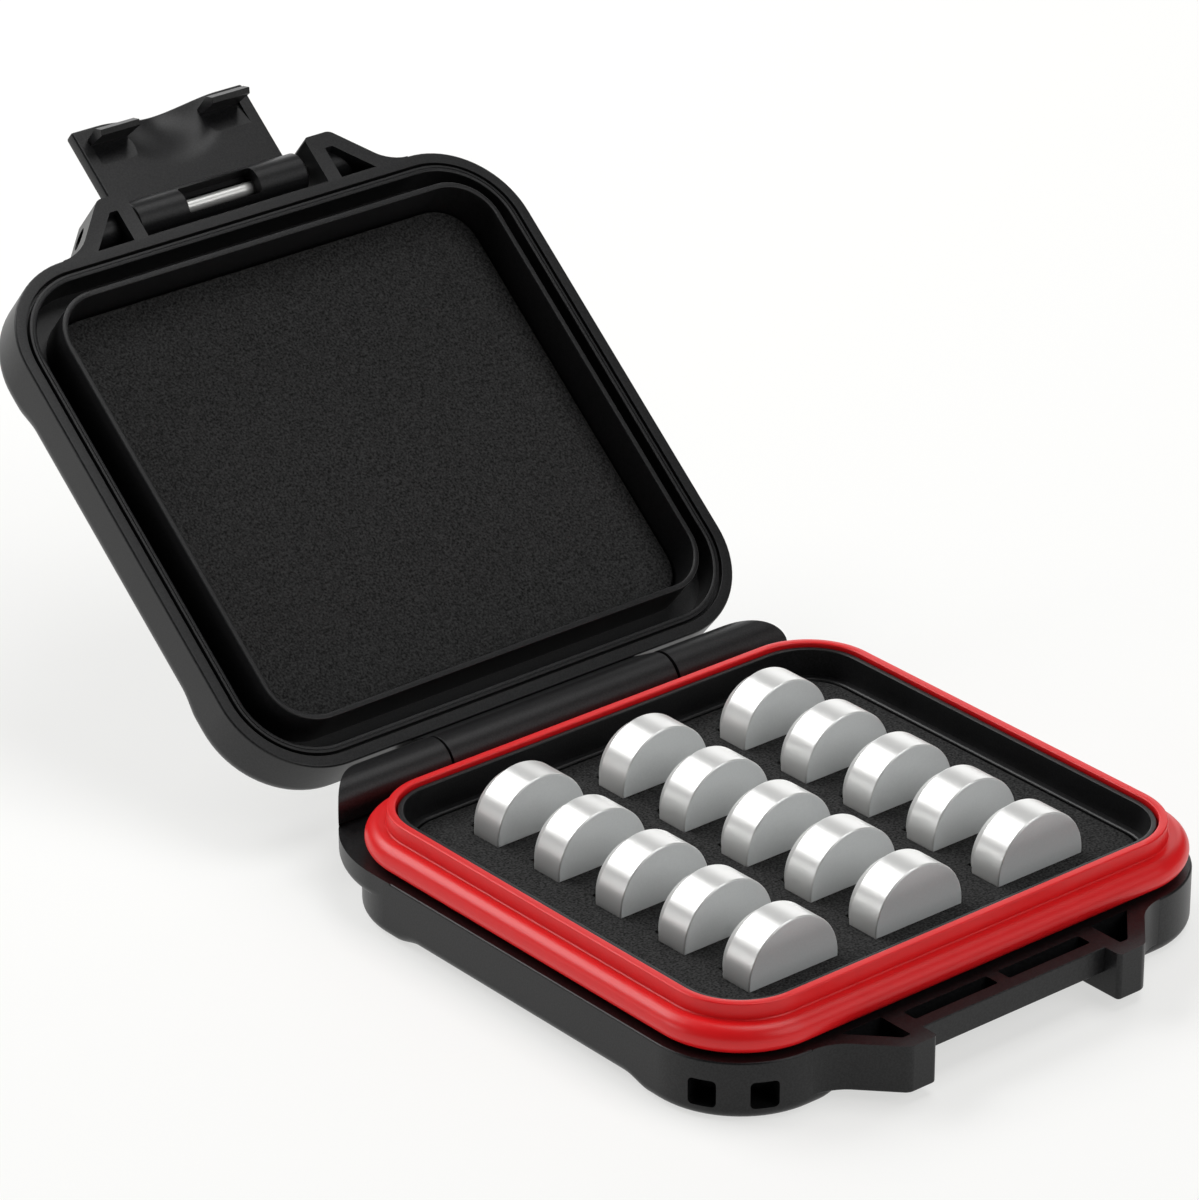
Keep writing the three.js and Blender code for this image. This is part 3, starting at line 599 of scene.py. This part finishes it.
def makeBase():
    shell = roundedBlock("base_shell_moulding", 0, 0, base["flange"])
    raisePads(0, -1)
    pick("EDGE", lambda edge: all(v.co.z < 0.01 and near(fromEdge(v.co), 0, 0.02) for v in edge.verts))
    bevel(base["bottomEdge"], 8)

    pick("FACE", lambda face: face.normal.z > 0.9 and near(face.calc_center_median().z, base["flange"]))
    inset(base["rimOuter"])
    extrude(z=base["rimTop"] - base["flange"])
    inset(base["rimWall"])
    extrude(z=base["ledgeZ"] - base["rimTop"])
    inset(base["ledge"])
    extrude(z=base["floor"] - base["ledgeZ"])
    pick("EDGE", lambda edge: bothAt(edge, base["flange"])
         and all(near(fromEdge(v.co), 0, 0.02) for v in edge.verts))
    bevel(base["flangeEdge"], 3)
    pick("EDGE", lambda edge: bothAt(edge, base["rimTop"])
         and near(fromEdge(edge.verts[0].co), fromEdge(edge.verts[1].co), 0.1))
    bevel(base["rimSoft"], 3)
    pick("EDGE", lambda edge: bothAt(edge, base["ledgeZ"])
         and all(fromEdge(v.co) > base["rimOuter"] + base["rimWall"] + 0.5 for v in edge.verts))
    bevel(base["ledgeSoft"], 3)
    facesOut()

    combine(shell, makeHingeShelf(), "UNION")
    combine(shell, addRod("pin_bore", hinge["bore"], -hinge["boreEnd"], hinge["boreEnd"], hingeY, hingeZ, 40),
            "DIFFERENCE")

    front = -outline["halfDepth"]
    for side in (-1, 1):
        combine(shell, addEar(side, base["earBottom"], base["flange"], base["earBottom"]), "UNION")
    barFront = front - base["barReach"]
    barLow = base["flange"] - base["barHeight"]
    reach = ears["innerX"] + ears["wall"] / 2
    bar = addBlock("keeper_bar", (-reach, barFront, barLow), (reach, front + ears["rootDepth"], base["flange"]))
    edit(bar)
    pick("EDGE", lambda edge: all(near(v.co.y, barFront) for v in edge.verts)
         and near(edge.verts[0].co.z, edge.verts[1].co.z))
    bevel(base["barSoft"], 4)
    combine(shell, bar, "UNION")
    for side in (-1, 1):
        combine(shell, addPocket(side, base["flange"] - base["pocketDepth"], base["flange"] + 1), "DIFFERENCE")
        ends = sorted((side * base["barRib"] / 2, side * (ears["innerX"] - base["barEnd"])))
        slot = addBlock("keeper_slot", (ends[0], barFront + base["barFront"], base["flange"] - base["barSlot"]),
                        (ends[1], front - base["barBack"], base["flange"] + 1))
        edit(slot)
        pick("EDGE", lambda edge: not near(edge.verts[0].co.z, edge.verts[1].co.z))
        bevel(base["slotSoft"], 4)
        combine(shell, slot, "DIFFERENCE")

    # lanyard post: two square mouths joined behind it
    cx = -outline["halfWidth"] + outline["corner"]
    cy = -outline["halfDepth"] + outline["corner"]
    deep = outline["corner"] - base["post"] - base["passage"]
    top = base["holeBottom"] + base["holeHeight"]
    half = base["holeWidth"] / 2
    turns = [math.radians(turn) for turn in base["holeTurns"]]
    for turn in turns:
        mouth = addBlock("lanyard_mouth", (deep, -half, base["holeBottom"]), (outline["corner"] + 1, half, top))
        mouth.matrix_world = Matrix.Translation((cx, cy, 0)) @ Matrix.Rotation(turn, 4, "Z")
        bpy.ops.object.transform_apply(location=True, rotation=True, scale=True)
        edit(mouth)
        along = Vector((math.cos(turn), math.sin(turn), 0))
        pick("EDGE", lambda edge: abs((edge.verts[1].co - edge.verts[0].co).normalized().dot(along)) > 0.9)
        bevel(base["holeSoft"], 6)
        combine(shell, mouth, "DIFFERENCE")
    ring = arc((cx, cy), deep + base["passage"], turns[0], turns[1], 12)
    ring += arc((cx, cy), deep, turns[1], turns[0], 12)
    combine(shell, drawPlan("lanyard_passage", ring, base["holeBottom"] + 0.01, top - 0.01), "DIFFERENCE")
    settle(shell)
    smoothShade(shell)
    hand(shell, "case", "black_plastic", absFinish, "base_shell")
    return shell


makeBase()
print("base shell done")


lid = {
    "plane": 9.3, "height": 6.3, "topEdge": 2.3, "roof": 1.0, "lipDrop": 1.5, "lip": 0.65, "lipOuter": 4.8,
    "lipSoft": 0.12, "channelOuter": 2.45, "channelTop": 12.9, "channelSoft": 0.14,
    "grooveInset": 1.5, "grooveWidth": 0.32, "grooveDepth": 0.8, "grooveSoft": 0.07,
    "lineInset": 2.0, "lineWidth": 0.1, "lineDepth": 0.08,
    "rimEdge": 0.25, "earHeight": 5.5, "pocketDepth": 4.9, "boss": 2.2, "pinBore": 1.05,
}


def makeLid():
    plane = lid["plane"]
    top = plane + lid["height"]
    shell = roundedBlock("lid_shell_moulding", 0, plane, top)
    raisePads(top, 1)
    pick("EDGE", lambda edge: all(v.co.z > top - 0.01 and near(fromEdge(v.co), 0, 0.02) for v in edge.verts))
    bevel(lid["topEdge"], 12)

    pick("FACE", lambda face: face.normal.z < -0.9 and near(face.calc_center_median().z, plane))
    reached = 0
    for line in ("groove", "line"):
        start = lid[line + "Inset"] - lid[line + "Width"] / 2
        inset(start - reached)
        extrude(z=lid[line + "Depth"])
        inset(lid[line + "Width"])
        extrude(z=-lid[line + "Depth"])
        reached = start + lid[line + "Width"]
    inset(lid["channelOuter"] - reached)
    extrude(z=lid["channelTop"] - plane)
    inset(lid["lipOuter"] - lid["channelOuter"])
    extrude(z=plane - lid["lipDrop"] - lid["channelTop"])
    inset(lid["lip"])
    extrude(z=top - lid["roof"] - (plane - lid["lipDrop"]))
    pick("EDGE", lambda edge: bothAt(edge, plane) and all(near(fromEdge(v.co), 0, 0.02) for v in edge.verts))
    bevel(lid["rimEdge"], 3)
    pick("EDGE", lambda edge: bothAt(edge, plane - lid["lipDrop"])
         and near(fromEdge(edge.verts[0].co), fromEdge(edge.verts[1].co), 0.1))
    bevel(lid["lipSoft"], 3)
    grooveSides = [lid["grooveInset"] + half * lid["grooveWidth"] for half in (-0.5, 0.5)]
    for places, width in (([lid["channelOuter"]], lid["channelSoft"]), (grooveSides, lid["grooveSoft"])):
        pick("EDGE", lambda edge: bothAt(edge, plane) and any(
            all(near(fromEdge(v.co), place, 0.02) for v in edge.verts) for place in places))
        bevel(width, 3)
    facesOut()

    # the middle knuckle and the web that carries it
    wall = outline["halfDepth"]
    low = plane + lid["rimEdge"]
    high = low + hinge["webRise"]

    def tangent(z, turn):
        reach = math.hypot(wall - hingeY, z - hingeZ)
        return math.atan2(z - hingeZ, wall - hingeY) + turn * math.acos(hinge["knuckle"] / reach)

    inner = wall - lid["channelOuter"] / 2
    side = [(inner, low), (wall, low)]
    side += arc((hingeY, hingeZ), hinge["knuckle"], tangent(low, 1), tangent(high, -1) + 2 * math.pi, 48)
    side += [(wall, high), (inner, high)]
    half = hinge["middleLength"] / 2
    knuckle = drawSide("middle_knuckle", side, -half, half)
    pick("EDGE", lambda edge: all(near(v.co.x, half) for v in edge.verts)
         or all(near(v.co.x, -half) for v in edge.verts))
    bevel(hinge["knuckleSoft"], 2)
    combine(shell, knuckle, "UNION")
    combine(shell, addRod("pin_bore", hinge["bore"], -half - 5, half + 5, hingeY, hingeZ, 40), "DIFFERENCE")

    for side in (-1, 1):
        ear = addEar(side, plane, plane + lid["earHeight"], plane + lid["earHeight"])
        combine(ear, addPocket(side, plane - 1, plane + lid["pocketDepth"]), "DIFFERENCE")
        ends = sorted((side * (ears["innerX"] + 0.1), side * earSide(latchY + lid["boss"])))
        boss = addRod("pin_boss", lid["boss"], ends[0], ends[1], latchY, latchZ, 48)
        combine(boss, addEar(side, plane, plane + lid["earHeight"], plane + lid["earHeight"]), "INTERSECT")
        combine(ear, boss, "UNION")
        ends = sorted((side * 5, side * outline["halfWidth"]))
        combine(ear, addRod("latch_bore", lid["pinBore"], ends[0], ends[1], latchY, latchZ, 40), "DIFFERENCE")
        combine(shell, ear, "UNION")
    settle(shell, lidOpen)
    smoothShade(shell)
    hand(shell, "lid", "black_plastic", absFinish, "lid_shell")
    return shell


makeLid()
print("lid shell done")


latch = {
    "halfWidth": 11.6, "inset": 0.6, "thickness": 1.5, "top": 0.85, "length": 12.65, "edge": 0.3,
    "across": 68, "down": 36,             # faces of the flap, wide enough for its edge bevel
    "scoopFlare": 1.75, "scoopHalf": 8.0, "scoopHeight": 7.4,
    "barrel": 2.4, "barrelEnd": 0.3, "barrelSoft": 0.15, "window": 9.8, "windowHeight": 3.2, "windowSoft": 0.3,
    "bore": 1.05, "hookInner": 4.9, "hookOuter": 10.05, "hookDepth": 3.1, "hookThickness": 1.25, "hookNose": 0.5,
    "hookLead": 0.5, "hookRamp": 0.9, "hookSoft": 0.08, "hookUndercut": 0.65,
    "recess": 0.35, "recessHeight": 2.2, "catchFit": 0.3,
}


def makeLatch():
    clearSelection()
    bpy.ops.mesh.primitive_grid_add(x_subdivisions=latch["across"], y_subdivisions=latch["down"], size=2)
    flap = bpy.context.object
    flap.name = "latch_flap"
    for corner in flap.data.vertices:
        x = corner.co.x * latch["halfWidth"]
        down = (1 - corner.co.y) / 2
        z = latch["top"] - (latch["length"] + latch["top"]) * down
        fromMiddle = math.hypot(x / latch["scoopHalf"], (latch["length"] + z) / latch["scoopHeight"])
        flare = latch["scoopFlare"] * smooth(1 - fromMiddle)
        corner.co = (x, latchY - latch["inset"] - flare, latchZ + z)
    takeUp(flap)
    wall = flap.modifiers.new("wall", "SOLIDIFY")
    wall.thickness = latch["thickness"]
    wall.offset = 1
    bpy.ops.object.modifier_apply(modifier=wall.name)
    edit(flap)
    facesOut()
    pick("EDGE", lambda edge: len(edge.link_faces) == 2 and edge.calc_face_angle() > math.radians(50))
    bevel(latch["edge"], 4)

    end = latch["halfWidth"] - latch["barrelEnd"]
    barrel = addRod("barrel", latch["barrel"], -end, end, latchY, latchZ, 72)
    edit(barrel)
    pick("EDGE", lambda edge: near(edge.verts[0].co.x, edge.verts[1].co.x))
    bevel(latch["barrelSoft"], 3)
    combine(flap, barrel, "UNION")
    catch = base["flange"] - base["barHeight"] - latch["catchFit"]
    inner = latchY - latch["inset"]
    nose = inner + latch["hookDepth"]
    root = inner - (latch["thickness"] + latch["recess"]) / 2
    foot = catch - latch["hookThickness"]
    middle = foot + latch["hookThickness"] / 2
    relief = [(inner - latch["recess"], middle), (inner - latch["recess"], catch),
              (inner, catch + latch["recessHeight"]), (inner + 1, catch + latch["recessHeight"]), (inner + 1, middle)]
    profile = [(root, catch - latch["hookUndercut"]), (nose - latch["hookLead"], catch),
               (nose, catch - latch["hookNose"]), (nose - latch["hookRamp"], foot), (root, foot)]
    for side in (-1, 1):
        ends = sorted((side * latch["hookInner"], side * latch["hookOuter"]))
        combine(flap, drawSide("hook_relief", relief, ends[0], ends[1]), "DIFFERENCE")
        hook = drawSide("hook", profile, ends[0], ends[1])
        pick("EDGE", lambda edge: min(v.co.y for v in edge.verts) > root + 0.1)
        bevel(latch["hookSoft"], 3)
        combine(flap, hook, "UNION")
    window = addBlock("window", (-latch["window"] / 2, latchY, latchZ - latch["windowHeight"] / 2),
                      (latch["window"] / 2, latchY + latch["barrel"] + 1, latchZ + latch["windowHeight"] / 2))
    edit(window)
    pick("EDGE", lambda edge: not near(edge.verts[0].co.y, edge.verts[1].co.y))
    bevel(latch["windowSoft"], 4)
    combine(flap, window, "DIFFERENCE")
    combine(flap, addRod("latch_bore", latch["bore"], -end - 1, end + 1, latchY, latchZ, 40), "DIFFERENCE")
    settle(flap, latchOpen)
    smoothShade(flap)
    hand(flap, "latch", "black_plastic", absFinish, "latch")
    return flap


makeLatch()
print("latch done")


pins = {"hinge": {"radius": 0.8, "half": 22.8}, "latch": {"radius": 0.75, "half": 15.4}, "chamfer": 0.15}


def makePin(name, radius, half, y, z, body, node, move):
    pin = addRod(name, radius, -half, half, y, z, 48)
    edit(pin)
    pick("EDGE", lambda edge: near(edge.verts[0].co.x, edge.verts[1].co.x))
    bevel(pins["chamfer"], 2)
    settle(pin, move)
    smoothShade(pin)
    hand(pin, body, "pin_steel", pinFinish, node)
    return pin


makePin("hinge_pin_rod", pins["hinge"]["radius"], pins["hinge"]["half"], hingeY, hingeZ, "case", "hinge_pin", None)
makePin("latch_pin_rod", pins["latch"]["radius"], pins["latch"]["half"], latchY, latchZ, "lid", "latch_pin", lidOpen)
print("pins done")


seal = {"margin": 0.35, "bead": 3.0, "bottom": 6.0, "lipInset": 2.6, "lip": 0.95, "lipRise": 1.7,
        "fillet": 0.2, "soft": 0.16, "valley": 0.1}


def makeSeal():
    top = seal["bottom"] + seal["bead"]
    ring = roundedBlock("rim_seal", seal["margin"], seal["bottom"], top, 28)
    pick("EDGE", lambda edge: (bothAt(edge, top) or bothAt(edge, seal["bottom"]))
         and all(near(fromEdge(v.co), seal["margin"], 0.02) for v in edge.verts))
    bevel(seal["bead"] / 2 - 0.001, 12)
    pick("FACE", lambda face: face.normal.z > 0.99 and len(face.verts) > 20)
    inset(seal["lipInset"] - seal["margin"] - seal["bead"] / 2)
    shift(z=-seal["valley"])
    extrude(z=seal["lipRise"] + seal["valley"])
    inset(seal["lip"])
    bpy.ops.mesh.delete(type="FACE")
    pick("FACE", lambda face: face.normal.z < -0.99 and len(face.verts) > 20)
    inset(seal["lipInset"] + seal["lip"] - seal["margin"] - seal["bead"] / 2)
    bpy.ops.mesh.delete(type="FACE")
    pick("EDGE", lambda edge: edge.is_boundary)
    bpy.ops.mesh.bridge_edge_loops()
    pick("EDGE", lambda edge: bothAt(edge, top - seal["valley"])
         and all(near(fromEdge(v.co), seal["lipInset"], 0.03) for v in edge.verts))
    bevel(seal["fillet"], 4)
    lipTop = top + seal["lipRise"]
    pick("EDGE", lambda edge: bothAt(edge, lipTop)
         and near(fromEdge(edge.verts[0].co), fromEdge(edge.verts[1].co), 0.1))
    bevel(seal["soft"], 3)
    settle(ring)
    smoothShade(ring)
    hand(ring, "case", "red_silicone", siliconeFinish, "seal")
    return ring


makeSeal()
print("seal done")


cell = {"radius": 5.8, "height": 5.4, "wall": 3.95, "crimpRise": 0.3, "crimp": 0.45, "gasket": 0.4,
        "capRise": 0.95, "capTaper": 0.3, "edge": 0.18, "crimpSoft": 0.15, "capSoft": 0.25,
        "canDepth": 4.25, "centreZ": 7.5,
        "rows": 3, "columns": 5, "rowPitch": 16.57, "columnPitch": 9.65}


def cellPlaces():
    places = []
    for row in range(cell["rows"]):
        for column in range(cell["columns"]):
            places.append(((row - (cell["rows"] - 1) / 2) * cell["rowPitch"],
                           ((cell["columns"] - 1) / 2 - column) * cell["columnPitch"]))
    return places


def makeCells():
    clearSelection()
    bpy.ops.mesh.primitive_cylinder_add(vertices=96, radius=cell["radius"], depth=cell["wall"],
                                        location=(0, 0, cell["wall"] / 2))
    first = bpy.context.object
    bpy.ops.object.transform_apply(location=True, rotation=True, scale=True)
    edit(first)
    pick("FACE", lambda face: face.normal.z > 0.9)
    inset(cell["crimp"])
    shift(z=cell["crimpRise"])
    inset(cell["gasket"])
    shift(z=cell["height"] - cell["capRise"] - cell["wall"] - cell["crimpRise"])
    inset(cell["capTaper"])
    shift(z=cell["capRise"])
    pick("EDGE", lambda edge: bothAt(edge, 0))
    bevel(cell["edge"], 6)
    pick("EDGE", lambda edge: bothAt(edge, cell["wall"]))
    bevel(cell["crimpSoft"], 3)
    pick("EDGE", lambda edge: bothAt(edge, cell["height"]))
    bevel(cell["capSoft"], 4)
    facesOut()
    clearSelection()
    for number, (x, y) in enumerate(cellPlaces(), 1):
        takeUp(first)
        bpy.ops.object.duplicate()
        copy = bpy.context.object
        copy.name = f"coin_cell_{number:02d}"
        turn = Matrix.Rotation(math.radians(-90), 4, "X")
        copy.matrix_world = Matrix.Translation((x, y - cell["canDepth"] / 2, cell["centreZ"])) @ turn
        settle(copy)
        smoothShade(copy)
        hand(copy, f"cell_{number:02d}", "cell_steel", canFinish, f"button_cell_{number:02d}")
        copy.data.materials.append(endFinish)
        front = min(v.co.y for v in copy.data.vertices)
        for face in copy.data.polygons:
            if face.normal.y < -0.9 and near(face.center.y, front, 0.00002):
                face.material_index = 1
    bpy.data.objects.remove(first)


makeCells()
print("cells done")


tray = {"back": 5.5, "bottom": 1.7, "top": 7.2, "fit": 0.05, "softSlot": 0.08, "softEdge": 0.35}


def makeTray():
    block = roundedBlock("cell_tray_foam", tray["back"], tray["bottom"], tray["top"], 10)
    can = cell["radius"] + tray["fit"]
    cap = cell["radius"] - cell["crimp"] - cell["gasket"] + tray["fit"]
    across = {x + side * half for x, _ in cellPlaces() for side in (-1, 1) for half in (can, cap)}
    fronts = {y - cell["canDepth"] / 2 - tray["fit"] for _, y in cellPlaces()}
    steps = (0, cell["wall"] + tray["fit"], cell["height"] + 2 * tray["fit"])
    along = {front + step for front in fronts for step in steps}
    for x in sorted(across):
        bpy.ops.mesh.select_all(action="SELECT")
        bpy.ops.mesh.bisect(plane_co=(x, 0, 0), plane_no=(1, 0, 0))
    for y in sorted(along):
        bpy.ops.mesh.select_all(action="SELECT")
        bpy.ops.mesh.bisect(plane_co=(0, y, 0), plane_no=(0, 1, 0))
    for x, y in cellPlaces():
        front = y - cell["canDepth"] / 2 - tray["fit"]

        def inSlot(face):
            middle = face.calc_center_median()
            half = can if middle.y < front + steps[1] else cap
            return (abs(face.normal.z) > 0.9 and abs(middle.x - x) < half
                    and front < middle.y < front + steps[2])

        pick("FACE", inSlot)
        bpy.ops.mesh.delete(type="FACE")
        pick("EDGE", lambda edge: edge.is_boundary)
        bpy.ops.mesh.bridge_edge_loops()
    top = tray["top"]
    pick("EDGE", lambda edge: bothAt(edge, top) and edge.calc_face_angle(0) > 1
         and all(fromEdge(v.co) > tray["back"] + 0.1 for v in edge.verts))
    bevel(tray["softSlot"], 3)
    pick("EDGE", lambda edge: bothAt(edge, top)
         and all(near(fromEdge(v.co), tray["back"], 0.03) for v in edge.verts))
    bevel(tray["softEdge"], 4)
    settle(block)
    smoothShade(block)
    hand(block, "case", "black_foam", foamFinish, "cell_tray")
    return block


makeTray()
print("tray done")


pad = {"back": 5.75, "top": 14.3, "thickness": 1.9, "pressed": 0.7, "soft": 0.25}


def makePad():
    low = pad["top"] - pad["thickness"]
    sheet = roundedBlock("lid_pad_foam", pad["back"], low, pad["top"], 12)
    pick("EDGE", lambda edge: bothAt(edge, low))
    bevel(pad["soft"], 4)
    settle(sheet, lidOpen)
    smoothShade(sheet)
    hand(sheet, "lid", "black_foam", foamFinish, "lid_pad")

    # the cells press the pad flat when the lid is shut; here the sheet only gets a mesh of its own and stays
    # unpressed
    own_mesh(sheet)
    return sheet


makePad()
print("pad done")


stage = {
    "floorSize": 6.0, "floorColour": "#a2a2a1", "floorGlow": 1.7, "floorRoughness": 0.9, "floorSpecular": 0.1,
    "worldColour": "#ffffff", "worldStrength": 0.06,
}


def makeStage():
    clearSelection()
    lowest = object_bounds()[0].z
    bpy.ops.mesh.primitive_plane_add(size=stage["floorSize"], location=(0, 0, lowest))
    floor = bpy.context.object
    floor.name = "floor"
    finish, _, shader = newFinish("matt_white_floor")
    shader.inputs["Base Color"].default_value = linearColour(stage["floorColour"])
    shader.inputs["Roughness"].default_value = stage["floorRoughness"]
    shader.inputs["Specular IOR Level"].default_value = stage["floorSpecular"]
    shader.inputs["Emission Color"].default_value = linearColour(stage["floorColour"])
    shader.inputs["Emission Strength"].default_value = stage["floorGlow"]
    floor.data.materials.append(finish)
    world = bpy.data.worlds.new("studio")
    world.use_nodes = True
    sky = world.node_tree.nodes["Background"]
    sky.inputs["Color"].default_value = linearColour(stage["worldColour"])
    sky.inputs["Strength"].default_value = stage["worldStrength"]
    bpy.context.scene.world = world
    bpy.context.scene.view_settings.view_transform = "Standard"


lights = {
    "back": {"place": (-0.22, 0.72, 0.68), "size": (0.8, 0.45), "power": 6.6},
    "overhead": {"place": (0.28, 0.0, 0.95), "size": (0.6, 0.5), "power": 3.4},
    "backdrop": {"place": (0.75, 0.9, 0.35), "size": (1.2, 0.6), "power": 3.4},
    "front": {"place": (0.35, -0.95, 0.68), "size": (0.8, 0.8), "power": 4.6},
    "lowLeft": {"place": (-0.8, 0.42, 0.22), "size": (0.35, 0.25), "power": 1.2},
}
lightAim = Vector((0, 0.02, 0.01))


def makeLights():
    for name, light in lights.items():
        clearSelection()
        bpy.ops.object.light_add(type="AREA", location=light["place"])
        lamp = bpy.context.object
        lamp.name = name
        lamp.data.shape = "RECTANGLE"
        lamp.data.size, lamp.data.size_y = light["size"]
        lamp.data.energy = light["power"]
        lamp.rotation_euler = (lightAim - Vector(light["place"])).to_track_quat("-Z", "Y").to_euler()


view = {
    "eye": (-0.35999, -0.40237, 0.29765), "forward": (0.57673, 0.68935, -0.43838),
    "focal": 6033 / 1199,                 # in picture widths
    "sensor": 36, "clipStart": 0.01,
}


def makeCamera():
    clearSelection()
    bpy.ops.object.camera_add(location=view["eye"])
    camera = bpy.context.object
    camera.rotation_euler = Vector(view["forward"]).to_track_quat("-Z", "Y").to_euler()
    camera.data.sensor_fit = "HORIZONTAL"
    camera.data.sensor_width = view["sensor"]
    camera.data.lens = view["sensor"] * view["focal"]
    camera.data.clip_start = view["clipStart"]
    bpy.context.scene.camera = camera


makeStage()
makeLights()
makeCamera()
print("stage, lights and camera done")
